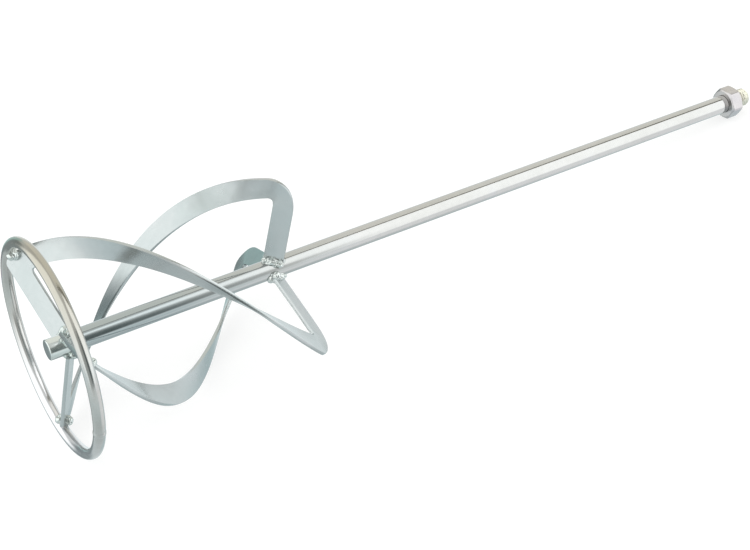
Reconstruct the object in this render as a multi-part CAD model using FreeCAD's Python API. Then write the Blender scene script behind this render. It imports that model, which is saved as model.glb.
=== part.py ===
import FreeCAD, Part
import math
import os

# Mortar mixing paddle: a round steel shaft that carries three twisted strip blades and a foot ring,
# all welded, with an M14 thread and a hexagon nut at the machine end.
# Units are millimetres. +X runs along the shaft towards the thread, +Z is up, and the origin is on
# the shaft's axis at the nut's outer face. Stations count along the shaft from the ring's plane.

# Shaft, thread and nut
SHAFT_LENGTH = 590.0
SHAFT_D = 14.0
SHAFT_BELOW_RING = 3.0
FREE_THREAD = 11.5
THREAD_D = 13.68
END_CHAMFER = 0.7
THREAD_CHAMFER = 1.2
NUT_ACROSS_FLATS = 22.0
NUT_HEIGHT = 11.0
NUT_FACE_D = 20.6
NUT_OUTER_FACE_D = 19.4
NUT_CHAMFER_SLOPE = math.radians(30)

# Foot ring, bent from round bar and butt welded
RING_D = 140.0
RING_BAR_D = 8.0
RING_SEAM_ANGLE = 195.0
RING_SEAM_LENGTH = 2.6
RING_SEAM_D = 8.5

# Blades: one strip each, a foot arm, a helical outer run and a top arm. Each corner is a quarter of an
# ellipse, with its reach across and along the shaft, and the strip starts to bend part way round it.
BLADES = 3
FIRST_BLADE_ANGLE = -90.0
CAGE_LENGTH = 172.5
TWIST = 191.0
TWIST_BIAS = 0.02
STRIP_WIDTH = 14.5
STRIP_THICKNESS = 2.5
FOOT_REACH = 69.2
TOP_REACH = 72.0
WAIST = 9.3
TOP_EDGE_SLOPE = 6.5
FOOT_CORNER = (6.0, 6.0)
TOP_CORNER = (28.0, 13.0)
INNER_CORNER = (2.6, 2.2)
BEND_START = 0.4

# The arms are flat. Each is set by its middle line, given at ARM_REF_R: its station, its angle from the
# blade's start and how it leans towards the shaft, and by the tilt of its width from the shaft's axis
ARM_WIDTH = 14.0
ARM_ROOT_R = 5.0
ARM_REF_R = 52.0
FOOT_ARM = {"station": 4.0, "angle": 3.3, "tilt": 51.0, "rise_to_shaft": 7.6, "offset_at_shaft": -3.8}
TOP_ARM = {"station": 166.3, "angle": 185.7, "tilt": 43.8, "rise_to_shaft": -8.9, "offset_at_shaft": 0.5}

# Weld beads
ROOT_BEAD_R = 2.9
ROOT_BEAD_LIFT = 0.8
FOOT_BEAD_SPAN = (0.36, 0.86)
TOP_BEAD_SPAN = (0.14, 0.86)
RING_BEAD_R = 3.4
RING_BEAD_HALF_LENGTH = 2.6
RING_BEAD_RADIUS = 66.0
RING_BEAD_STATION = 2.6
RING_BEAD_ANGLE = 2.5

NUT_FACE_STATION = SHAFT_LENGTH - SHAFT_BELOW_RING - FREE_THREAD
SHAFT_R = SHAFT_D / 2
RING_R = RING_D / 2
AXIS = FreeCAD.Vector(1, 0, 0)
CENTRE = FreeCAD.Vector(0, 0, 0)
SAME_DIRECTION = 1
SETTLING_STEPS = 12
SLOPE_STEP = 0.01

# Points along each stretch of a blade's edges
ARM_POINTS = 9
CORNER_POINTS = 25
RUN_POINTS = 37


def on_axis(station):
    return FreeCAD.Vector(station - NUT_FACE_STATION, 0, 0)


def polar(radius, station, degrees):
    """Point at a radius and an angle about the shaft, counted from +Y towards +Z."""
    a = math.radians(degrees)
    return on_axis(station) + FreeCAD.Vector(0, radius * math.cos(a), radius * math.sin(a))


def turned(profile):
    """Solid of revolution about the shaft from a list of (station, radius) corners."""
    points = [on_axis(s) + FreeCAD.Vector(0, r, 0) for s, r in profile]
    face = Part.Face(Part.makePolygon(points + [points[0]]))
    return face.revolve(CENTRE, AXIS, 360)


def shaft():
    foot = -SHAFT_BELOW_RING
    tip = NUT_FACE_STATION + FREE_THREAD
    thread_r = THREAD_D / 2
    return turned([
        (foot, 0),
        (foot, SHAFT_R - END_CHAMFER),
        (foot + END_CHAMFER, SHAFT_R),
        (NUT_FACE_STATION, SHAFT_R),
        (NUT_FACE_STATION, thread_r),
        (tip - THREAD_CHAMFER, thread_r),
        (tip, thread_r - THREAD_CHAMFER),
        (tip, 0),
    ])


def hex_nut():
    corner_r = NUT_ACROSS_FLATS / math.sqrt(3)
    inner = NUT_FACE_STATION - NUT_HEIGHT
    corners = [polar(corner_r, inner, 60 * i) for i in range(7)]
    body = Part.Face(Part.makePolygon(corners)).extrude(AXIS * NUT_HEIGHT)
    slope = math.tan(NUT_CHAMFER_SLOPE)
    inner_r = NUT_FACE_D / 2
    outer_r = NUT_OUTER_FACE_D / 2
    reach = corner_r + 1
    blank = turned([
        (inner, SHAFT_R),
        (inner, inner_r),
        (inner + (reach - inner_r) * slope, reach),
        (NUT_FACE_STATION - (reach - outer_r) * slope, reach),
        (NUT_FACE_STATION, outer_r),
        (NUT_FACE_STATION, SHAFT_R),
    ])
    return body.common(blank)


def bar_arc(bar_r, start, sweep):
    """Round bar bent about the shaft, from one angle through another."""
    centre = polar(RING_R, 0, start)
    a = math.radians(start)
    tangent = FreeCAD.Vector(0, -math.sin(a), math.cos(a))
    section = Part.Face(Part.Wire(Part.makeCircle(bar_r, centre, tangent)))
    return section.revolve(on_axis(0), AXIS, sweep)


def seam_sweep():
    return math.degrees(RING_SEAM_LENGTH / RING_R)


def ring():
    sweep = seam_sweep()
    return bar_arc(RING_BAR_D / 2, RING_SEAM_ANGLE + sweep / 2, 360 - sweep)


def ring_seam_weld():
    sweep = seam_sweep()
    return bar_arc(RING_SEAM_D / 2, RING_SEAM_ANGLE - sweep / 2, sweep)


def edge_radius(station):
    """Radius of a blade's outer edge: widest at the ends, drawn in at the waist."""
    u = station / CAGE_LENGTH
    return FOOT_REACH + (TOP_REACH - FOOT_REACH) * u - WAIST * 4 * u * (1 - u)


def arm_width(radius):
    """Width of an arm along the shaft: the strip's own width, laid over by the twist."""
    rate = math.radians(TWIST) / CAGE_LENGTH
    return STRIP_WIDTH / math.hypot(1, radius * rate)


def arm_point(radius, across, angle, arm):
    """Point of a flat arm's middle plane; across runs from its end edge (0) to its window edge (1)."""
    a = math.radians(angle + arm["angle"])
    outward = FreeCAD.Vector(0, math.cos(a), math.sin(a))
    sideways = FreeCAD.Vector(0, -math.sin(a), math.cos(a))
    tilt = math.radians(arm["tilt"])
    width = AXIS * math.cos(tilt) + sideways * math.sin(tilt)
    nearness = 1 - radius / ARM_REF_R
    middle = on_axis(arm["station"] + arm["rise_to_shaft"] * nearness)
    middle = middle + outward * radius + sideways * (arm["offset_at_shaft"] * nearness)
    inward = 1 if arm is FOOT_ARM else -1
    return middle + width * (inward * (across - 0.5) * ARM_WIDTH)


def run_point(radius, station, angle):
    """Point of the helical run's middle surface, a right-handed helicoid."""
    inset = 1 - min(radius / edge_radius(station), 1)
    s = station - TOP_EDGE_SLOPE * station / CAGE_LENGTH * inset
    u = s / CAGE_LENGTH
    turn = TWIST * (u + TWIST_BIAS * 4 * u * (1 - u))
    return polar(radius, s, angle + turn)


def blade_point(radius, station, angle, bend):
    """Point of a blade's middle surface; bend goes from 0 in the flat arm to 1 in the helical run."""
    if bend == 1:
        return run_point(radius, station, angle)
    at_foot = station < CAGE_LENGTH / 2
    depth = station if at_foot else CAGE_LENGTH - station
    flat = arm_point(radius, depth / arm_width(radius), angle, FOOT_ARM if at_foot else TOP_ARM)
    return flat * (1 - bend) + run_point(radius, station, angle) * bend


def skin_point(radius, station, angle, bend, side):
    """Point of a blade's face, half a thickness off the middle surface."""
    d = SLOPE_STEP
    ahead = blade_point(radius, station + d, angle, bend)
    behind = blade_point(radius, station - d, angle, bend)
    outer = blade_point(radius + d, station, angle, bend)
    inner = blade_point(radius - d, station, angle, bend)
    normal = (outer - inner).cross(ahead - behind)
    normal.normalize()
    return blade_point(radius, station, angle, bend) + normal * (side * STRIP_THICKNESS / 2)


def window_corner(end):
    """Radius and depth, from the blade's end, at which the window's corner arc starts."""
    radius = FOOT_REACH - STRIP_WIDTH
    for _ in range(SETTLING_STEPS):
        depth = arm_width(radius)
        radius = edge_radius(abs(end - depth)) - STRIP_WIDTH - INNER_CORNER[0]
    return radius, depth


def corner_start(end, corner):
    """Radius at which the corner stretch starts, whichever edge turns first."""
    return min(window_corner(end)[0], edge_radius(end) - corner[0])


def corner_reach(end, corner):
    """How far the corner stretch runs along the shaft before the helical run starts."""
    return max(window_corner(end)[1] + INNER_CORNER[1], corner[1])


def arm_stations(end, inward, corner):
    """Outer edge, inner edge and bend of an arm, from the shaft to the corner."""
    reach = corner_start(end, corner)
    pairs = []
    for i in range(ARM_POINTS):
        r = ARM_ROOT_R + (reach - ARM_ROOT_R) * i / (ARM_POINTS - 1)
        pairs.append(((r, end), (r, end + inward * arm_width(r)), 0))
    return pairs


def corner_edge(f, end, inward, start, corner, inset, reach):
    """Point at a fraction of the way round a corner, on the edge a given inset from the outside."""
    start_r, depth = start
    outward, along = corner
    lead_in = edge_radius(end + inward * depth) - inset - outward - start_r
    arc = (outward + along) / 2 * math.pi / 2
    lead_out = reach - depth - along
    travel = f * (lead_in + arc + lead_out)
    if travel < lead_in:
        r = start_r + travel
        return r, end + inward * depth * arm_width(r) / arm_width(start_r + lead_in)
    a = min((travel - lead_in) / arc, 1) * math.pi / 2
    beyond = max(travel - lead_in - arc, 0)
    station = end + inward * (depth + along * (1 - math.cos(a)) + beyond)
    return edge_radius(station) - inset - outward * (1 - math.sin(a)), station


def corner_stations(end, inward, corner):
    """Outer edge, inner edge and bend round a corner, from the arm to the helical run."""
    start = corner_start(end, corner)
    depth = window_corner(end)[1]
    reach = corner_reach(end, corner)
    pairs = []
    for i in range(CORNER_POINTS):
        f = i / (CORNER_POINTS - 1)
        outer = corner_edge(f, end, inward, (start, 0), corner, 0, reach)
        inner = corner_edge(f, end, inward, (start, depth), INNER_CORNER, STRIP_WIDTH, reach)
        bent = max((f - BEND_START) / (1 - BEND_START), 0)
        pairs.append((outer, inner, bent * bent * (3 - 2 * bent)))
    return pairs


def run_stations():
    """Outer edge, inner edge and bend of the helical run between the corners."""
    low = corner_reach(0, FOOT_CORNER)
    high = CAGE_LENGTH - corner_reach(CAGE_LENGTH, TOP_CORNER)
    pairs = []
    for i in range(RUN_POINTS):
        station = low + (high - low) * i / (RUN_POINTS - 1)
        edge = edge_radius(station)
        pairs.append(((edge, station), (edge - STRIP_WIDTH, station), 1))
    return pairs


def rail(pairs, which, side, angle):
    """Smooth edge through the outer (0) or inner (1) stations of one stretch, on one face."""
    points = [skin_point(*p[which], angle, p[2], side) for p in pairs]
    curve = Part.BSplineCurve()
    curve.interpolate(Points=points, Parameters=[float(i) for i in range(len(points))])
    return curve.toShape()


def ruled(first, second):
    return Part.makeRuledSurface(first, second, SAME_DIRECTION)


def blade(angle):
    """One strip blade, trimmed to sit on the shaft and against the ring."""
    foot_arm = arm_stations(0, 1, FOOT_CORNER)
    foot_corner = corner_stations(0, 1, FOOT_CORNER)
    run = run_stations()
    top_corner = corner_stations(CAGE_LENGTH, -1, TOP_CORNER)[::-1]
    top_arm = arm_stations(CAGE_LENGTH, -1, TOP_CORNER)[::-1]
    segments = [foot_arm, foot_corner, run, top_corner, top_arm]
    faces = []
    for pairs in segments:
        outer = [rail(pairs, 0, side, angle) for side in (1, -1)]
        inner = [rail(pairs, 1, side, angle) for side in (1, -1)]
        faces.append(ruled(outer[0], inner[0]))
        faces.append(ruled(outer[1], inner[1]))
        faces.append(ruled(outer[0], outer[1]))
        faces.append(ruled(inner[0], inner[1]))
    for outer, inner, bend in (foot_arm[0], top_arm[-1]):
        corners = [skin_point(r, s, angle, bend, side) for (r, s), side in
                   ((outer, 1), (inner, 1), (inner, -1), (outer, -1))]
        faces.append(ruled(Part.makeLine(corners[0], corners[3]), Part.makeLine(corners[1], corners[2])))
    shell = Part.Shell(faces)
    shell.sewShape()
    solid = Part.Solid(shell)
    if solid.Volume < 0:
        solid.reverse()
    core = Part.makeCylinder(SHAFT_R, SHAFT_LENGTH, on_axis(-SHAFT_BELOW_RING), AXIS)
    bar = Part.makeTorus(RING_R, RING_BAR_D / 2, on_axis(0), AXIS)
    return biggest(solid.cut(core).cut(bar))


def biggest(shape):
    return max(shape.Solids, key=lambda s: s.Volume)


def bead(start, end, radius):
    """Round-ended bead of weld metal from one point to another."""
    body = Part.makeCylinder(radius, (end - start).Length, start, end - start)
    return body.fuse([Part.makeSphere(radius, start), Part.makeSphere(radius, end)]).removeSplitter()


def root_weld(angle, arm, span, side):
    """Bead along one face of an arm, where it meets the shaft."""
    tilt = math.radians(arm["tilt"])
    a = math.radians(angle + arm["angle"])
    sideways = FreeCAD.Vector(0, -math.sin(a), math.cos(a))
    normal = AXIS * -math.sin(tilt) + sideways * math.cos(tilt)
    points = []
    for across in span:
        beside = arm_point(0, across, angle, arm).dot(sideways)
        radius = math.sqrt(SHAFT_R ** 2 - beside ** 2) + ROOT_BEAD_LIFT
        lift = side * (STRIP_THICKNESS / 2 + ROOT_BEAD_LIFT)
        points.append(arm_point(radius, across, angle, arm) + normal * lift)
    return bead(*points, ROOT_BEAD_R)


def ring_weld(angle):
    """Bead that joins a blade's foot corner to the inside of the ring."""
    place = (RING_BEAD_RADIUS, RING_BEAD_STATION, angle + RING_BEAD_ANGLE)
    middle = run_point(*place)
    through = skin_point(*place, 1, 1) - middle
    through.normalize()
    half = through * RING_BEAD_HALF_LENGTH
    return bead(middle - half, middle + half, RING_BEAD_R)


def build():
    """All solids by node name, each trimmed so that neighbours meet face to face."""
    parts = {"shaft": shaft(), "hex_nut": hex_nut(), "ring": ring(), "ring_seam_weld": ring_seam_weld()}
    ends = {"foot": (FOOT_ARM, FOOT_BEAD_SPAN), "top": (TOP_ARM, TOP_BEAD_SPAN)}
    for i in range(BLADES):
        angle = FIRST_BLADE_ANGLE + 360 * i / BLADES
        number = i + 1
        strip = blade(angle)
        parts["blade_%d" % number] = strip
        for end, (arm, span) in ends.items():
            lead = root_weld(angle, arm, span, 1).cut([parts["shaft"], strip])
            trail = root_weld(angle, arm, span, -1).cut([parts["shaft"], strip, lead])
            parts["%s_weld_%d_lead" % (end, number)] = biggest(lead)
            parts["%s_weld_%d_trail" % (end, number)] = biggest(trail)
        joint = ring_weld(angle).cut([parts["ring"], parts["ring_seam_weld"], strip])
        parts["ring_weld_%d" % number] = biggest(joint)
    return parts


os.makedirs("parts", exist_ok=True)
for name, shape in build().items():
    shape.exportStep("parts/%s.step" % name)
    facts = (name, len(shape.Solids), shape.isValid(), shape.Volume)
    print("%-22s solids %d valid %s volume %.1f mm3" % facts)
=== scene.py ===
import math

import bmesh
import bpy
import numpy as np
from mathutils import Matrix, Vector, noise


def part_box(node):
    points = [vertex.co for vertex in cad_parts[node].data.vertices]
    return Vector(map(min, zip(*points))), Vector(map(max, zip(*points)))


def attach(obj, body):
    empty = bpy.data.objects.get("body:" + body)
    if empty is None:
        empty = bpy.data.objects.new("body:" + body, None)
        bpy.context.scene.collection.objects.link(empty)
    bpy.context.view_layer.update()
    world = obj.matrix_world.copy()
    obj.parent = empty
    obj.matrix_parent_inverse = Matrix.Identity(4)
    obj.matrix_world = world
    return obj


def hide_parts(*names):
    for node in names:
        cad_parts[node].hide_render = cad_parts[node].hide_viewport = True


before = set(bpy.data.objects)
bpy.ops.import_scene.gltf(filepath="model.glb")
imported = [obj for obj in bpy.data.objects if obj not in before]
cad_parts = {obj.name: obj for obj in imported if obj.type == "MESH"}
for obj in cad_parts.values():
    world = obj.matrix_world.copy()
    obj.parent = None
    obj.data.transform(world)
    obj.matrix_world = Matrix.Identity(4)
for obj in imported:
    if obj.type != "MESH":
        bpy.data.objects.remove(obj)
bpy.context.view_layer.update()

# Mortar mixing paddle, in metres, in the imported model's frame: +X along the shaft towards the thread,
# origin on the axis at the nut's outer face. Stations below are in mm from the ring's plane.
MM = 0.001

ring_low, ring_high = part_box("ring")
shaft_low, shaft_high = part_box("shaft")
nut_low, nut_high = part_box("hex_nut")
RING_X = (ring_low.x + ring_high.x) / 2 / MM
RING_BAR_R = (ring_high.x - ring_low.x) / 2 / MM
RING_R = (ring_high.z - ring_low.z) / 2 / MM - RING_BAR_R
SHAFT_R = (shaft_high.z - shaft_low.z) / 2 / MM
FOOT_X = shaft_low.x / MM
TIP_X = shaft_high.x / MM
NUT_IN_X = nut_low.x / MM
NUT_OUT_X = nut_high.x / MM
NUT_HALF_FLATS = (nut_high.z - nut_low.z) / 2 / MM

# The blades' law, as the CAD part has it
CAGE_LENGTH = 172.5
TWIST = 191.0
TWIST_BIAS = 0.02
STRIP_WIDTH = 14.5
STRIP_THICKNESS = 2.5
FOOT_REACH = 69.2
TOP_REACH = 72.0
WAIST = 9.3
TOP_EDGE_SLOPE = 6.5
FOOT_CORNER = (6.0, 6.0)
TOP_CORNER = (28.0, 13.0)
INNER_CORNER = (2.6, 2.2)
BEND_START = 0.4
ARM_WIDTH = 14.0
ARM_ROOT_R = 5.0
ARM_REF_R = 52.0
FOOT_ARM = {"station": 4.0, "angle": 3.3, "tilt": 51.0, "rise_to_shaft": 7.6, "offset_at_shaft": -3.8}
TOP_ARM = {"station": 166.3, "angle": 185.7, "tilt": 43.8, "rise_to_shaft": -8.9, "offset_at_shaft": 0.5}
BLADE_ANGLES = (-90.0, 30.0, 150.0)
SLOPE_STEP = 0.01
SETTLING_STEPS = 12

# How finely the visual strip is cut, and how its rolled surface wanders (mm)
ARM_STEPS = 16
CORNER_STEPS = 48
RUN_STEPS = 120
FACE_POINTS = 9
EDGE_STEPS = 8
EDGE_ROUND = 0.55
EDGE_FLATNESS = 1.6
SKIN_INSET = 0.97
SLOW_WAVE = (0.10, 22)
FINE_WAVE = (0.03, 5)


# ---------------------------------------------------------------- meshes

def new_object(name, verts, faces):
    """Smooth mesh object from points in mm, riding on the part's one body."""
    mesh = bpy.data.meshes.new(name)
    mesh.from_pydata([tuple(c * MM for c in v) for v in verts], [], [tuple(f) for f in faces])
    mesh.validate()
    mesh.polygons.foreach_set("use_smooth", [True] * len(mesh.polygons))
    obj = bpy.data.objects.new(name, mesh)
    bpy.context.scene.collection.objects.link(obj)
    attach(obj, "root")
    return obj


def loft(rows, closed_rows=True):
    """Faces over a grid of points: each row is a closed loop, and rows may close on themselves too."""
    count = len(rows[0])
    faces = []
    last = len(rows) if closed_rows else len(rows) - 1
    for i in range(last):
        a = i * count
        b = ((i + 1) % len(rows)) * count
        for j in range(count):
            k = (j + 1) % count
            faces.append((a + j, a + k, b + k, b + j))
    verts = [p for row in rows for p in row]
    return verts, faces


def cap(verts, faces, row_start, count, tip, flip):
    """Fan from one end loop to a point on the axis."""
    verts.append(tip)
    t = len(verts) - 1
    for j in range(count):
        k = (j + 1) % count
        f = (row_start + j, row_start + k, t)
        faces.append(f[::-1] if flip else f)


def sharpen(obj, degrees):
    """Smooth shading that keeps real edges."""
    obj.data.set_sharp_from_angle(angle=math.radians(degrees))
    return obj


def bumpy(x, y, z, scale, seed):
    """Smooth noise at a point in mm, with features about one scale across."""
    return noise.noise(Vector((x / scale + seed, y / scale - seed, z / scale + 2 * seed)))


def edge_radius(s):
    """Radius of a blade's outer edge: widest at the ends, drawn in at the waist."""
    u = s / CAGE_LENGTH
    return FOOT_REACH + (TOP_REACH - FOOT_REACH) * u - WAIST * 4 * u * (1 - u)


def arm_width(r):
    """Width of an arm along the shaft: the strip's own width, laid over by the twist."""
    return STRIP_WIDTH / math.hypot(1, r * math.radians(TWIST) / CAGE_LENGTH)


def arm_frame(angle, arm):
    """Outward, sideways and width directions of a flat arm."""
    a = math.radians(angle + arm["angle"])
    tilt = math.radians(arm["tilt"])
    outward = np.array([0.0, math.cos(a), math.sin(a)])
    sideways = np.array([0.0, -math.sin(a), math.cos(a)])
    width = np.array([math.cos(tilt), 0.0, 0.0]) + sideways * math.sin(tilt)
    return outward, sideways, width


def arm_point(r, across, angle, arm):
    """Point of a flat arm's middle plane; across runs from its end edge (0) to its window edge (1)."""
    outward, sideways, width = arm_frame(angle, arm)
    nearness = 1 - r / ARM_REF_R
    middle = np.array([RING_X + arm["station"] + arm["rise_to_shaft"] * nearness, 0.0, 0.0])
    middle = middle + outward * r + sideways * (arm["offset_at_shaft"] * nearness)
    inward = 1 if arm is FOOT_ARM else -1
    return middle + width * (inward * (across - 0.5) * ARM_WIDTH)


def run_point(r, s, angle):
    """Point of the helical run's middle surface."""
    inset = 1 - min(r / edge_radius(s), 1)
    station = s - TOP_EDGE_SLOPE * s / CAGE_LENGTH * inset
    u = station / CAGE_LENGTH
    a = math.radians(angle + TWIST * (u + TWIST_BIAS * 4 * u * (1 - u)))
    return np.array([RING_X + station, r * math.cos(a), r * math.sin(a)])


def blade_point(r, s, angle, bend):
    """Point of a blade's middle surface; bend goes from 0 in the flat arm to 1 in the helical run."""
    if bend == 1:
        return run_point(r, s, angle)
    at_foot = s < CAGE_LENGTH / 2
    depth = s if at_foot else CAGE_LENGTH - s
    flat = arm_point(r, depth / arm_width(r), angle, FOOT_ARM if at_foot else TOP_ARM)
    return flat * (1 - bend) + run_point(r, s, angle) * bend


def blade_normal(r, s, angle, bend):
    d = SLOPE_STEP
    across = blade_point(r + d, s, angle, bend) - blade_point(r - d, s, angle, bend)
    along = blade_point(r, s + d, angle, bend) - blade_point(r, s - d, angle, bend)
    n = np.cross(across, along)
    return n / np.linalg.norm(n)


def window_corner(end):
    """Radius and depth, from the blade's end, at which the window's corner arc starts."""
    r = FOOT_REACH - STRIP_WIDTH
    for _ in range(SETTLING_STEPS):
        depth = arm_width(r)
        r = edge_radius(abs(end - depth)) - STRIP_WIDTH - INNER_CORNER[0]
    return r, depth


def corner_edge(f, end, inward, start, corner, inset, reach):
    """Point at a fraction of the way round a corner, on the edge a given inset from the outside."""
    start_r, depth = start
    outward, along = corner
    lead_in = edge_radius(end + inward * depth) - inset - outward - start_r
    arc = (outward + along) / 2 * math.pi / 2
    travel = f * (lead_in + arc + reach - depth - along)
    if travel < lead_in:
        r = start_r + travel
        return r, end + inward * depth * arm_width(r) / arm_width(start_r + lead_in)
    a = min((travel - lead_in) / arc, 1) * math.pi / 2
    beyond = max(travel - lead_in - arc, 0)
    s = end + inward * (depth + along * (1 - math.cos(a)) + beyond)
    return edge_radius(s) - inset - outward * (1 - math.sin(a)), s


def strip_stations():
    """Outer edge, inner edge and bend of the whole strip, from the foot arm's root to the top arm's."""
    arms = []
    for end, inward, corner in ((0.0, 1, FOOT_CORNER), (CAGE_LENGTH, -1, TOP_CORNER)):
        window_r, depth = window_corner(end)
        start_r = min(window_r, edge_radius(end) - corner[0])
        reach = max(depth + INNER_CORNER[1], corner[1])
        pairs = []
        for i in range(ARM_STEPS):
            r = ARM_ROOT_R + (start_r - ARM_ROOT_R) * i / ARM_STEPS
            pairs.append(((r, end), (r, end + inward * arm_width(r)), 0))
        for i in range(CORNER_STEPS + 1):
            f = i / CORNER_STEPS
            outer = corner_edge(f, end, inward, (start_r, 0), corner, 0, reach)
            inner = corner_edge(f, end, inward, (start_r, depth), INNER_CORNER, STRIP_WIDTH, reach)
            bent = max((f - BEND_START) / (1 - BEND_START), 0)
            pairs.append((outer, inner, bent * bent * (3 - 2 * bent)))
        arms.append((pairs, end + inward * reach))
    (foot, low), (top, high) = arms
    run = []
    for i in range(1, RUN_STEPS):
        s = low + (high - low) * i / RUN_STEPS
        run.append(((edge_radius(s), s), (edge_radius(s) - STRIP_WIDTH, s), 1))
    return foot + run + top[::-1]


def strip_section():
    """Points round a strip's section as (across, off the middle) in mm: flat faces and rounded edges."""
    r = EDGE_ROUND
    half = STRIP_THICKNESS / 2
    points = []
    for side in (1, -1):
        for i in range(FACE_POINTS):
            t = i / (FACE_POINTS - 1)
            across = r + (STRIP_WIDTH - 2 * r) * (t if side > 0 else 1 - t)
            points.append((across, side * half))
        for i in range(1, EDGE_STEPS):
            a = math.pi * i / EDGE_STEPS
            inset = r * (1 - math.sin(a))
            flat = max(-1.0, min(1.0, math.cos(a) * EDGE_FLATNESS))
            points.append((STRIP_WIDTH - inset if side > 0 else inset, side * half * flat))
    return points


def make_blade(name, angle, seed):
    """One twisted strip blade, from its foot arm's root to its top arm's."""
    section = strip_section()
    rows = []
    for outer, inner, bend in strip_stations():
        row = []
        for across, off in section:
            t = across / STRIP_WIDTH
            r = outer[0] + (inner[0] - outer[0]) * t
            s = outer[1] + (inner[1] - outer[1]) * t
            p = blade_point(r, s, angle, bend)
            n = blade_normal(r, s, angle, bend)
            wave = SLOW_WAVE[0] * bumpy(*p, SLOW_WAVE[1], seed)
            wave += FINE_WAVE[0] * bumpy(*p, FINE_WAVE[1], seed + 3)
            row.append(tuple(p + n * (off * SKIN_INSET + wave)))
        rows.append(row)
    verts, faces = loft(rows, closed_rows=False)
    count = len(section)
    faces.append(tuple(range(count))[::-1])
    faces.append(tuple(range(len(rows) * count - count, len(rows) * count)))
    obj = new_object(name, verts, faces)
    fix_normals(obj)
    return sharpen(obj, 50)


def fix_normals(obj):
    """Face normals that all point outwards."""
    bm = bmesh.new()
    bm.from_mesh(obj.data)
    bmesh.ops.recalc_face_normals(bm, faces=bm.faces)
    bm.to_mesh(obj.data)
    bm.free()


def lathe(name, profile, segments, wobble):
    """Surface of revolution about X from (x, radius) corners, closed on the axis at both ends. The
    wobble gives what is added to the radius at an x and an angle."""
    rows = []
    for x, r in profile:
        row = []
        for j in range(segments):
            a = 2 * math.pi * j / segments
            dr = wobble(x, a)
            row.append((x, (r + dr) * math.cos(a), (r + dr) * math.sin(a)))
        rows.append(row)
    verts, faces = loft(rows, closed_rows=False)
    cap(verts, faces, 0, segments, (profile[0][0], 0, 0), True)
    cap(verts, faces, (len(rows) - 1) * segments, segments, (profile[-1][0], 0, 0), False)
    obj = new_object(name, verts, faces)
    fix_normals(obj)
    return obj


THREAD_PITCH = 2.0
THREAD_DEPTH = 0.8
THREAD_R = 6.83
THREAD_CREST = 0.12
THREAD_FLANK = 0.68
THREAD_START_X = NUT_OUT_X - 2.0
THREAD_STEP = 0.125
THREAD_LEAD_IN = 1.5
THREAD_LEAD_SLOPE = 0.8
SHAFT_END_ROUND = 0.7
SHAFT_SEGMENTS = 144


def thread_dip(x, a):
    """How deep the thread's groove is at a place: a rounded 60 degree form with worn crests."""
    phase = ((x / THREAD_PITCH) - a / (2 * math.pi)) % 1.0
    v = abs(phase - 0.5) * 2
    return THREAD_DEPTH * (1 - min(max((v - THREAD_CREST) / THREAD_FLANK, 0.0), 1.0))


def thread_lead(x):
    """How far the thread's crest has tapered off at a place near the tip."""
    return max(x - (TIP_X - THREAD_LEAD_IN), 0.0) * THREAD_LEAD_SLOPE


def thread_wobble(x, a):
    return -max(thread_dip(x, a) - thread_lead(x), 0.0) if x >= THREAD_START_X else 0.0


def make_shaft():
    """Round shaft with a rounded foot end, a small step inside the nut and the M14 thread."""
    rounding = SHAFT_END_ROUND
    profile = []
    for i in range(7):
        a = math.pi / 2 * i / 6
        profile.append((FOOT_X + rounding * (1 - math.cos(a)), SHAFT_R - rounding + rounding * math.sin(a)))
    steps = 90
    for i in range(1, steps):
        profile.append((FOOT_X + rounding + (NUT_IN_X - FOOT_X - rounding) * i / steps, SHAFT_R))
    profile.append((NUT_IN_X + 0.6, SHAFT_R))
    profile.append((NUT_IN_X + 1.2, SHAFT_R - 0.3))
    profile.append((THREAD_START_X, SHAFT_R - 0.3))
    x = THREAD_START_X
    while x < TIP_X - 0.06:
        profile.append((x, THREAD_R - thread_lead(x)))
        x += THREAD_STEP
    profile.append((TIP_X - 0.01, THREAD_R - 1.25))
    obj = lathe("paddle_shaft", profile, SHAFT_SEGMENTS, thread_wobble)
    return sharpen(obj, 32)


NUT_SEGMENTS = 144
NUT_INNER_FACE_R = 10.3
NUT_OUTER_FACE_R = 9.7
NUT_CHAMFER = math.radians(30)
NUT_BORE_R = SHAFT_R + 0.02
NUT_SOFTNESS = 0.5
NUT_CONE_PART = 0.86


def nut_wall(off):
    """Distance of the hexagon's wall from the axis, an angle off the middle of a flat, with soft corners."""
    wall = NUT_HALF_FLATS / math.cos(off)
    limit = NUT_HALF_FLATS / math.cos(math.radians(30)) - 0.25 - NUT_SOFTNESS
    if wall < limit:
        return wall
    return limit + NUT_SOFTNESS * (1 - math.exp(-(wall - limit) / NUT_SOFTNESS))


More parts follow.
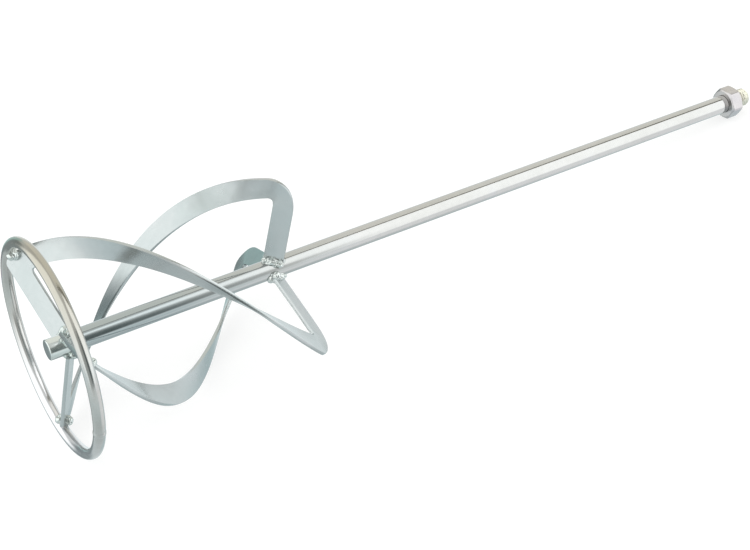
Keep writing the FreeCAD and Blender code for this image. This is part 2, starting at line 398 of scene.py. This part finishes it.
def make_nut():
    """Hexagon nut: cone chamfers on both ends, a countersunk bore and softened corners."""
    slope = math.tan(NUT_CHAMFER)
    bore = NUT_BORE_R
    rows_spec = ["bore_in", "sink_in", "face_in", "cone_in", "wall_in", "wall_mid", "wall_out", "cone_out",
                 "face_out", "sink_out", "bore_out"]
    rows = {k: [] for k in rows_spec}
    for j in range(NUT_SEGMENTS):
        a = 2 * math.pi * j / NUT_SEGMENTS
        wall = nut_wall(math.radians(math.degrees(a) % 60.0 - 30.0))
        c, s = math.cos(a), math.sin(a)

        def put(key, x, r):
            rows[key].append((x, r * c, r * s))

        cone = NUT_CONE_PART
        rise_in = max(wall - NUT_INNER_FACE_R, 0) * slope
        rise_out = max(wall - NUT_OUTER_FACE_R, 0) * slope
        put("bore_in", NUT_IN_X + 0.2, bore)
        put("sink_in", NUT_IN_X, bore + 0.12)
        put("face_in", NUT_IN_X, NUT_INNER_FACE_R)
        put("cone_in", NUT_IN_X + rise_in * cone, wall - (wall - NUT_INNER_FACE_R) * (1 - cone))
        put("wall_in", NUT_IN_X + rise_in + 0.12, wall)
        put("wall_mid", (NUT_IN_X + NUT_OUT_X) / 2, wall)
        put("wall_out", NUT_OUT_X - rise_out - 0.12, wall)
        put("cone_out", NUT_OUT_X - rise_out * cone, wall - (wall - NUT_OUTER_FACE_R) * (1 - cone))
        put("face_out", NUT_OUT_X, NUT_OUTER_FACE_R)
        put("sink_out", NUT_OUT_X, bore + 0.5)
        put("bore_out", NUT_OUT_X - 1.0, bore - 0.25)
    verts, faces = loft([rows[k] for k in rows_spec])
    obj = new_object("paddle_hex_nut", verts, faces)
    fix_normals(obj)
    return sharpen(obj, 22)


RING_STEPS = 320
BAR_STEPS = 40
RING_UNEVENNESS = 0.12
RING_DENTS = 0.05
RING_INSET = 0.12


def make_ring():
    """Foot ring bent from round bar, with the slight unevenness of a rolled hoop."""
    rows = []
    for i in range(RING_STEPS):
        a = 2 * math.pi * i / RING_STEPS
        c, s = math.cos(a), math.sin(a)
        out = RING_UNEVENNESS * noise.noise(Vector((c * 2.2, s * 2.2, 1.7)))
        row = []
        for j in range(BAR_STEPS):
            b = 2 * math.pi * j / BAR_STEPS
            px, pr = math.cos(b), math.sin(b)
            dent = RING_DENTS * noise.noise(Vector((c * 9 + px, s * 9, pr + 4.0)))
            r = RING_BAR_R - RING_INSET + dent
            rad = RING_R + out * 0.5 + r * pr
            row.append((RING_X + r * px, rad * c, rad * s))
        rows.append(row)
    verts, faces = loft(rows)
    obj = new_object("paddle_foot_ring", verts, faces)
    fix_normals(obj)
    return obj


BEAD_SEGMENTS = 48
BEAD_ROWS = 72
RIPPLE_PITCH = 1.15
RIPPLE_HEIGHT = 0.12
LUMPY = 0.85
SMOOTH = 0.3
PIT_DEPTH = 2.4


def make_bead(name, node, a, b, radius, seed, lumps=LUMPY):
    """Weld bead from a to b (mm): overlapping ripples of metal, lumpy and pitted."""
    a, b = np.array(a, float), np.array(b, float)
    axis = b - a
    length = np.linalg.norm(axis)
    axis = axis / length
    side = np.cross(axis, [0.3, 0.5, 0.81])
    side = side / np.linalg.norm(side)
    up = np.cross(axis, side)
    total = length + 2 * radius
    rows = []
    for i in range(1, BEAD_ROWS):
        t = -radius + total * i / BEAD_ROWS
        end = max(-t, t - length, 0.0)
        base = math.sqrt(max(radius ** 2 - end ** 2, 0.0))
        row = []
        for j in range(BEAD_SEGMENTS):
            q = 2 * math.pi * j / BEAD_SEGMENTS
            d = math.cos(q) * side + math.sin(q) * up
            p = a + axis * t + d * base
            ripple = abs(math.sin(math.pi * (t / RIPPLE_PITCH + 0.25 * math.cos(q)))) ** 0.6
            lump = bumpy(*p, 2.8, seed) + 0.35 * bumpy(*p, 1.2, seed + 5)
            pit = min(bumpy(*p, 1.7, seed + 11) + 0.2, 0.0)
            h = (ripple - 0.75) * RIPPLE_HEIGHT + lump * lumps + pit * PIT_DEPTH
            row.append(tuple(p + d * h * min(base / radius * 1.4, 1.0)))
        rows.append(row)
    verts, faces = loft(rows, closed_rows=False)
    count = BEAD_SEGMENTS
    cap(verts, faces, 0, count, tuple(a - axis * radius * 0.97), True)
    cap(verts, faces, (len(rows) - 1) * count, count, tuple(b + axis * radius * 0.97), False)
    obj = new_object(name, verts, faces)
    fix_normals(obj)
    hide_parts(node)
    return obj


blades = []
for number, angle in enumerate(BLADE_ANGLES, 1):
    obj = make_blade("paddle_blade_%d" % number, angle, 1.3 * number)
    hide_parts("blade_%d" % number)
    blades.append(obj)

shaft = make_shaft()
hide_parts("shaft")
nut = make_nut()
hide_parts("hex_nut")
ring = make_ring()
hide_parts("ring")

ROOT_BEAD_R = 2.9
ROOT_BEAD_LIFT = 0.8
FOOT_BEAD_SPAN = (0.36, 0.86)
TOP_BEAD_SPAN = (0.14, 0.86)
RING_BEAD_R = 3.4
SMOOTH_BEAD_R = 2.8
RING_BEAD_HALF_LENGTH = 2.6
RING_BEAD_PLACE = (66.0, 2.6)
RING_BEAD_ANGLE = 2.5


def root_bead_ends(angle, arm, span, side):
    """Ends of the bead along one face of an arm, where it meets the shaft."""
    sideways = arm_frame(angle, arm)[1]
    tilt = math.radians(arm["tilt"])
    normal = np.array([-math.sin(tilt), 0.0, 0.0]) + sideways * math.cos(tilt)
    ends = []
    for across in span:
        beside = float(np.dot(arm_point(0.0, across, angle, arm), sideways))
        r = math.sqrt(SHAFT_R ** 2 - beside ** 2) + ROOT_BEAD_LIFT
        lift = normal * side * (STRIP_THICKNESS / 2 + ROOT_BEAD_LIFT)
        ends.append(arm_point(r, across, angle, arm) + lift)
    return ends


welds = []
for number, angle in enumerate(BLADE_ANGLES, 1):
    for end, arm, span in (("foot", FOOT_ARM, FOOT_BEAD_SPAN), ("top", TOP_ARM, TOP_BEAD_SPAN)):
        for side, label in ((1, "lead"), (-1, "trail")):
            start, stop = root_bead_ends(angle, arm, span, side)
            seed = number * 7.1 + (3.3 if end == "top" else 0) + side
            name = "%s_weld_%d_%s" % (end, number, label)
            welds.append(make_bead("paddle_" + name, name, start, stop, ROOT_BEAD_R, seed))
    place = (*RING_BEAD_PLACE, angle + RING_BEAD_ANGLE)
    mid = run_point(*place)
    through = blade_normal(*place, 1) * RING_BEAD_HALF_LENGTH
    radius, lumps = (SMOOTH_BEAD_R, SMOOTH) if number == 3 else (RING_BEAD_R, LUMPY)
    name = "ring_weld_%d" % number
    welds.append(make_bead("paddle_" + name, name, mid - through, mid + through, radius, number * 3.7, lumps))


SEAM_ANGLE = math.radians(195.0)
SEAM_HALF_LENGTH = 2.0
SEAM_STEPS = 24
SEAM_BULGE = 0.18
SEAM_ROUGHNESS = 0.12


def make_seam():
    """Band of weld metal over the ring's butt joint, a little proud of the bar."""
    half = SEAM_HALF_LENGTH / RING_R
    rows = []
    for i in range(SEAM_STEPS + 1):
        f = i / SEAM_STEPS
        a = SEAM_ANGLE - half + 2 * half * f
        bulge = SEAM_BULGE * math.sin(math.pi * f) - 0.06
        row = []
        for j in range(BAR_STEPS):
            b = 2 * math.pi * j / BAR_STEPS
            uneven = noise.noise(Vector((f * 6, math.cos(b) * 2, math.sin(b) * 2 + 9)))
            r = RING_BAR_R - 0.02 + bulge + SEAM_ROUGHNESS * uneven
            r = min(r, RING_BAR_R + SEAM_BULGE)
            rad = RING_R + r * math.sin(b)
            row.append((RING_X + r * math.cos(b), rad * math.cos(a), rad * math.sin(a)))
        rows.append(row)
    verts, faces = loft(rows, closed_rows=False)
    faces.append(tuple(range(BAR_STEPS))[::-1])
    faces.append(tuple(range(SEAM_STEPS * BAR_STEPS, (SEAM_STEPS + 1) * BAR_STEPS)))
    obj = new_object("paddle_ring_seam", verts, faces)
    fix_normals(obj)
    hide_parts("ring_seam_weld")
    return obj


seam = make_seam()


# ---------------------------------------------------------------- materials

class Nodes:
    """Short way to write a material's node tree."""

    def __init__(self, name):
        self.mat = bpy.data.materials.new(name)
        self.mat.use_nodes = True
        self.tree = self.mat.node_tree
        self.tree.nodes.clear()
        out = self.tree.nodes.new("ShaderNodeOutputMaterial")
        self.bsdf = self.tree.nodes.new("ShaderNodeBsdfPrincipled")
        self.link(self.bsdf.outputs[0], out.inputs[0])

    def link(self, a, b):
        self.tree.links.new(a, b)

    def coords(self, scale=(1, 1, 1), rotation=(0, 0, 0)):
        """Object coordinates, stretched and turned so that no two noises line up."""
        c = self.tree.nodes.new("ShaderNodeTexCoord")
        m = self.tree.nodes.new("ShaderNodeMapping")
        m.inputs["Scale"].default_value = scale
        m.inputs["Rotation"].default_value = rotation
        self.link(c.outputs["Object"], m.inputs["Vector"])
        return m.outputs["Vector"]

    def noise(self, vector, scale, detail, rough, distortion=0.0):
        n = self.tree.nodes.new("ShaderNodeTexNoise")
        n.inputs["Scale"].default_value = scale
        n.inputs["Detail"].default_value = detail
        n.inputs["Roughness"].default_value = rough
        n.inputs["Distortion"].default_value = distortion
        self.link(vector, n.inputs["Vector"])
        return n.outputs["Fac"]

    def ramp(self, fac, stops):
        r = self.tree.nodes.new("ShaderNodeValToRGB")
        els = r.color_ramp.elements
        while len(els) > 1:
            els.remove(els[-1])
        els[0].position = stops[0][0]
        els[0].color = (*stops[0][1], 1.0)
        for pos, col in stops[1:]:
            e = els.new(pos)
            e.color = (*col, 1.0)
        self.link(fac, r.inputs["Fac"])
        return r.outputs["Color"]

    def mix(self, fac, a, b):
        m = self.tree.nodes.new("ShaderNodeMix")
        m.data_type = "RGBA"
        ins = {"fac": m.inputs[0], "a": m.inputs[6], "b": m.inputs[7]}
        for key, value in (("fac", fac), ("a", a), ("b", b)):
            if hasattr(value, "links"):
                self.link(value, ins[key])
            else:
                ins[key].default_value = value if key == "fac" else (*value, 1.0)
        return m.outputs[2]

    def scalar(self, fac, low, high, from_low=0.0, from_high=1.0):
        m = self.tree.nodes.new("ShaderNodeMapRange")
        m.inputs["From Min"].default_value = from_low
        m.inputs["From Max"].default_value = from_high
        m.inputs["To Min"].default_value = low
        m.inputs["To Max"].default_value = high
        self.link(fac, m.inputs["Value"])
        return m.outputs["Result"]

    def bump(self, height, strength, distance, normal=None):
        b = self.tree.nodes.new("ShaderNodeBump")
        b.inputs["Strength"].default_value = strength
        b.inputs["Distance"].default_value = distance
        self.link(height, b.inputs["Height"])
        if normal is not None:
            self.link(normal, b.inputs["Normal"])
        return b.outputs["Normal"]


# Noise scales of the plating, per metre
DRIFT_SCALE = 14.0
FINE_SCALE = 240.0
SPOT_SCALE = 700.0
GRAIN_SCALE = 60.0
PATCH_SCALE = 45.0
WORN = 0.72
SPOT_TINT = (0.30, 0.30, 0.28)
RAGGED = 0.8
GRAIN_DEPTH = 0.00006
MOTTLE_DEPTH = 0.00025
EVEN = (1, 1, 1)


def zinc(name, tints, rough, grain_axis, grain, seed, shade_and_tint_zones=(), mottle=0.25):
    """Zinc plated steel: slow colour drift, fine drawn grain along one axis, small spots and worn places.
    Each zone (axis, from, to, tint) shades the metal over to another tint along one axis, in mm. The zones
    paint light and shade into the colour, darker or lighter where the light falls so, apart from the thread's
    zone, which is the metal's own tint."""
    n = Nodes(name)
    drift = n.noise(n.coords(EVEN, (seed, 0.3, seed)), DRIFT_SCALE, 5.0, 0.6, 0.4)
    colour = n.ramp(drift, tints)
    fine = n.noise(n.coords(EVEN, (0.2, seed, 0.1)), FINE_SCALE, 3.0, 0.6)
    colour = n.mix(n.scalar(fine, 0.0, 0.16, 0.3, 0.8), colour, tuple(WORN * c for c in tints[0][1]))
    spots = n.noise(n.coords(EVEN, (0.5, 0.1, seed)), SPOT_SCALE, 2.0, 0.5)
    colour = n.mix(n.scalar(spots, 0.0, 0.3, 0.70, 0.82), colour, SPOT_TINT)
    # Painted shade and painted light by place, where a zone's tint stands for how light falls
    for axis, start, end, tint in shade_and_tint_zones:
        split = n.tree.nodes.new("ShaderNodeSeparateXYZ")
        n.link(n.coords(), split.inputs[0])
        ragged = n.tree.nodes.new("ShaderNodeMath")
        ragged.operation = "MULTIPLY_ADD"
        n.link(drift, ragged.inputs[0])
        ragged.inputs[1].default_value = (end - start) * MM * RAGGED
        n.link(split.outputs[axis], ragged.inputs[2])
        shift = (end - start) * RAGGED / 2
        fac = n.scalar(ragged.outputs[0], 0.0, 1.0, (start + shift) * MM, (end + shift) * MM)
        colour = n.mix(fac, colour, tint)
    n.link(colour, n.bsdf.inputs["Base Color"])
    n.bsdf.inputs["Metallic"].default_value = 1.0
    lines = n.noise(n.coords(grain_axis), GRAIN_SCALE, 6.0, 0.7)
    patch = n.noise(n.coords(EVEN, (seed, seed, 0.7)), PATCH_SCALE, 4.0, 0.6)
    mixed = n.mix(0.5, lines, patch)
    n.link(n.scalar(mixed, rough[0], rough[1], 0.3, 0.7), n.bsdf.inputs["Roughness"])
    grained = n.bump(lines, grain, GRAIN_DEPTH)
    n.link(n.bump(patch, mottle, MOTTLE_DEPTH, grained), n.bsdf.inputs["Normal"])
    return n.mat


# Tints of the plating by drift, from dull to bright
WARM = ((0.30, (0.43, 0.42, 0.39)), (0.5, (0.48, 0.48, 0.46)), (0.70, (0.46, 0.49, 0.49)))
COOL = ((0.30, (0.42, 0.46, 0.46)), (0.5, (0.46, 0.49, 0.49)), (0.70, (0.49, 0.50, 0.50)))
BRIGHT = ((0.30, (0.48, 0.48, 0.465)), (0.5, (0.51, 0.51, 0.50)), (0.70, (0.495, 0.505, 0.515)))
WELDED = ((0.30, (0.46, 0.52, 0.49)), (0.5, (0.56, 0.60, 0.58)), (0.70, (0.60, 0.61, 0.60)))
PALE = ((0.34, (0.40, 0.38, 0.37)), (0.5, (0.51, 0.49, 0.48)), (0.66, (0.46, 0.44, 0.46)))

shaft_mat = zinc("zinc_shaft", BRIGHT, (0.07, 0.18), (0.05, 1.6, 1.6), 0.35, 0.3,
                 # Painted shade: the shaft darker towards the foot, inside the cage of blades
                 (("X", RING_X + 230.0, RING_X + 60.0, (0.38, 0.42, 0.425)),
                  # Painted light: the last few mm at the foot end lighter
                  ("X", RING_X + 14.0, RING_X + 9.0, (0.60, 0.64, 0.62)),
                  ("X", NUT_OUT_X - 1.0, NUT_OUT_X + 1.0, (0.62, 0.60, 0.51))), mottle=0.07)
# Painted shade and painted light on the ring and its seam: darker and browner towards the top, lighter
# towards the bottom
RING_PAINTED_LIGHT_AND_SHADE = (("Z", 35.0, 75.0, (0.42, 0.40, 0.34)), ("Z", -5.0, -60.0, (0.64, 0.64, 0.65)))
ring_mat = zinc("zinc_ring", WARM, (0.11, 0.26), EVEN, 0.3, 0.9, RING_PAINTED_LIGHT_AND_SHADE)
seam_mat = zinc("zinc_seam", WARM, (0.14, 0.32), EVEN, 0.5, 1.9, RING_PAINTED_LIGHT_AND_SHADE)
nut_mat = zinc("zinc_nut", PALE, (0.16, 0.34), EVEN, 0.8, 1.4, mottle=0.7)
weld_mat = zinc("zinc_weld", WELDED, (0.06, 0.20), EVEN, 0.5, 2.2)
blade_mats = [zinc("zinc_blade_%d" % i, COOL, (0.18, 0.30), EVEN, 0.12, 0.6 * i, mottle=0.08)
              for i in (1, 2, 3)]

for obj, mat in [(shaft, shaft_mat), (ring, ring_mat), (nut, nut_mat), (seam, seam_mat)]:
    obj.data.materials.append(mat)
for obj, mat in zip(blades, blade_mats):
    obj.data.materials.append(mat)
# Not physical: no other piece mirrors the second blade, so that the first blade's loop stays evenly light.
blades[1].visible_glossy = False
for obj in welds:
    obj.data.materials.append(weld_mat)


# ---------------------------------------------------------------- floor, light and camera

def plain(name, colour, glow):
    """Matt material that also lights itself a little."""
    mat = bpy.data.materials.new(name)
    mat.use_nodes = True
    b = mat.node_tree.nodes["Principled BSDF"]
    b.inputs["Base Color"].default_value = (*colour, 1)
    b.inputs["Roughness"].default_value = 0.9
    b.inputs["Specular IOR Level"].default_value = 0.1
    b.inputs["Emission Color"].default_value = (1, 1, 1, 1)
    b.inputs["Emission Strength"].default_value = glow
    return mat


FLOOR_HALF = 6.0
FLOOR_GAP = 0.0006
FLOOR_COLOUR = (0.32, 0.32, 0.32)
FLOOR_GLOW = 0.72
ring_bottom = np.array([RING_X, 0.0, -(RING_R + RING_BAR_R)]) * MM
nut_bottom = np.array([NUT_OUT_X - 1.0, 0.0, -NUT_HALF_FLATS]) * MM
lean = math.atan2(nut_bottom[2] - ring_bottom[2], nut_bottom[0] - ring_bottom[0])
floor_mesh = bpy.data.meshes.new("floor")
floor_corners = [(x * FLOOR_HALF, y * FLOOR_HALF, 0) for x, y in ((-1, -1), (1, -1), (1, 1), (-1, 1))]
floor_mesh.from_pydata(floor_corners, [], [(0, 1, 2, 3)])
floor = bpy.data.objects.new("floor", floor_mesh)
bpy.context.scene.collection.objects.link(floor)
floor.location = Vector(ring_bottom) - Vector((0, 0, FLOOR_GAP))
floor.rotation_euler = (0, -lean, 0)
floor.data.materials.append(plain("floor_white", FLOOR_COLOUR, FLOOR_GLOW))
# Not physical: mirror-like rays pass the floor and see the painted studio below it.
floor.visible_glossy = False


# Radiance of the room by height, and of what stands in it: bearings in degrees from the front (-Y),
# positive to the right (+X), then heights above the horizon, edge softness and colour.
ROOM = (
    (-90, (0.76, 0.82, 0.83)),
    (-52, (0.74, 0.82, 0.83)),
    (-30, (0.93, 1.03, 1.05)),
    (-14, (1.10, 1.16, 1.17)),
    (2, (0.96, 0.99, 0.99)),
    (14, (0.86, 0.88, 0.87)),
    (45, (0.84, 0.85, 0.84)),
    (90, (0.92, 0.93, 0.92)),
)
BOXES = (
    (-200, -153, -60, 5, 5, 8, (0.29, 0.34, 0.35)),
    (172, 200, -60, 5, 5, 8, (0.38, 0.44, 0.44)),
    (-200, -174, -32, 8, 2, 8, (0.54, 0.76, 0.74)),
    (172, 200, -32, 8, 5, 8, (0.54, 0.76, 0.74)),
    (98, 220, 10, 78, 3, 6, (1.12, 1.11, 1.04)),
    (96, 134, -78, -30, 5, 9, (0.64, 0.76, 0.78)),
    (-149, -96, -24, 66, 5, 7, (1.70, 1.73, 1.72)),
    (-100, -50, -10, 66, 6, 8, (1.66, 1.70, 1.69)),
    (-46, -10, -14, 42, 6, 8, (0.56, 0.58, 0.56)),
    (-10, 20, -8, 46, 4, 7, (0.18, 0.21, 0.21)),
    (24, 98, -54, 0, 4, 14, (1.26, 1.28, 1.31)),
    (89, 106, 20, 80, 2, 5, (0.22, 0.21, 0.17)),
    (25, 89, -10, 67, 2, 4, (1.83, 1.86, 1.86)),
)


def studio_light():
    """World that lights the set and that the metal mirrors: a pale room by height, with soft edged boxes."""
    world = bpy.data.worlds.new("studio")
    bpy.context.scene.world = world
    world.use_nodes = True
    tree = world.node_tree
    tree.nodes.clear()
    coord = tree.nodes.new("ShaderNodeTexCoord")
    parts = tree.nodes.new("ShaderNodeSeparateXYZ")
    tree.links.new(coord.outputs["Generated"], parts.inputs[0])

    def math_node(kind, *values):
        n = tree.nodes.new("ShaderNodeMath")
        n.operation = kind
        for i, v in enumerate(values):
            if hasattr(v, "links"):
                tree.links.new(v, n.inputs[i])
            else:
                n.inputs[i].default_value = v
        return n.outputs[0]

    def step(value, at, soft):
        n = tree.nodes.new("ShaderNodeMapRange")
        n.interpolation_type = "SMOOTHSTEP"
        n.inputs["From Min"].default_value = math.radians(at - soft)
        n.inputs["From Max"].default_value = math.radians(at + soft)
        tree.links.new(value, n.inputs["Value"])
        return n.outputs["Result"]

    def window(value, low, high, soft):
        rise = step(value, low, soft)
        fall = math_node("SUBTRACT", 1.0, step(value, high, soft))
        return math_node("MULTIPLY", rise, fall)

    bearing = math_node("ARCTAN2", parts.outputs["X"], math_node("MULTIPLY", parts.outputs["Y"], -1.0))
    height = math_node("ARCSINE", parts.outputs["Z"])

    colour = tree.nodes.new("ShaderNodeValToRGB")
    els = colour.color_ramp.elements
    for element, (at, radiance) in zip(els, (ROOM[0], ROOM[-1])):
        element.position = 0.5 + at / 180
        element.color = (*radiance, 1)
    for at, radiance in ROOM[1:-1]:
        els.new(0.5 + at / 180).color = (*radiance, 1)
    ramp_in = tree.nodes.new("ShaderNodeMapRange")
    ramp_in.inputs["From Min"].default_value = -math.pi / 2
    ramp_in.inputs["From Max"].default_value = math.pi / 2
    tree.links.new(height, ramp_in.inputs["Value"])
    tree.links.new(ramp_in.outputs["Result"], colour.inputs["Fac"])
    result = colour.outputs["Color"]
    for low, high, bottom, top, side_soft, end_soft, radiance in BOXES:
        sides = window(bearing, low, high, side_soft)
        mask = math_node("MULTIPLY", sides, window(height, bottom, top, end_soft))
        m = tree.nodes.new("ShaderNodeMix")
        m.data_type = "RGBA"
        tree.links.new(mask, m.inputs[0])
        tree.links.new(result, m.inputs[6])
        m.inputs[7].default_value = (*radiance, 1)
        result = m.outputs[2]
    background = tree.nodes.new("ShaderNodeBackground")
    out = tree.nodes.new("ShaderNodeOutputWorld")
    tree.links.new(result, background.inputs["Color"])
    background.inputs["Strength"].default_value = 1.0
    tree.links.new(background.outputs[0], out.inputs[0])


studio_light()

# Plain background: a dome that only the camera sees
DOME_R = 5.6
DOME_ROWS = 12
DOME_TURNS = 24
BACKDROP_WHITE = (0.97, 0.97, 0.97, 1)
dome_mesh = bpy.data.meshes.new("backdrop")
dome_rows = []
for i in range(DOME_ROWS + 1):
    e = math.pi * (i / DOME_ROWS - 0.5)
    turns = [2 * math.pi * j / DOME_TURNS for j in range(DOME_TURNS)]
    level, height = DOME_R * math.cos(e), DOME_R * math.sin(e)
    dome_rows.append([(level * math.cos(q), level * math.sin(q), height) for q in turns])
dome_verts, dome_faces = loft(dome_rows, closed_rows=False)
dome_mesh.from_pydata(dome_verts, [], dome_faces)
dome = bpy.data.objects.new("backdrop", dome_mesh)
bpy.context.scene.collection.objects.link(dome)
glow = bpy.data.materials.new("backdrop_white")
glow.use_nodes = True
glow_inputs = glow.node_tree.nodes["Principled BSDF"].inputs
glow_inputs["Base Color"].default_value = (0, 0, 0, 1)
glow_inputs["Specular IOR Level"].default_value = 0.0
glow_inputs["Emission Color"].default_value = BACKDROP_WHITE
glow_inputs["Emission Strength"].default_value = 1.0
dome_mesh.materials.append(glow)
for kind in ("diffuse", "glossy", "transmission", "shadow", "volume_scatter"):
    setattr(dome, "visible_" + kind, False)

CAMERA_AT = (-0.7978, -0.7235, 0.5959)
CAMERA_FORWARD = (0.4335, 0.6776, -0.5941)
CAMERA_RIGHT = (0.8423, -0.5389, 0.0)
camera_data = bpy.data.cameras.new("camera")
camera_data.sensor_width = 36.0
camera_data.lens = 72.3
camera = bpy.data.objects.new("camera", camera_data)
forward = Vector(CAMERA_FORWARD).normalized()
right = Vector(CAMERA_RIGHT).normalized()
up = right.cross(forward)
camera.matrix_world = Matrix((
    (right.x, up.x, -forward.x, CAMERA_AT[0]),
    (right.y, up.y, -forward.y, CAMERA_AT[1]),
    (right.z, up.z, -forward.z, CAMERA_AT[2]),
    (0, 0, 0, 1)))
camera_data.shift_x = -0.0013
camera_data.clip_start = 0.05
camera_data.clip_end = 50
bpy.context.scene.collection.objects.link(camera)
bpy.context.scene.camera = camera
bpy.context.scene.view_settings.view_transform = "Standard"
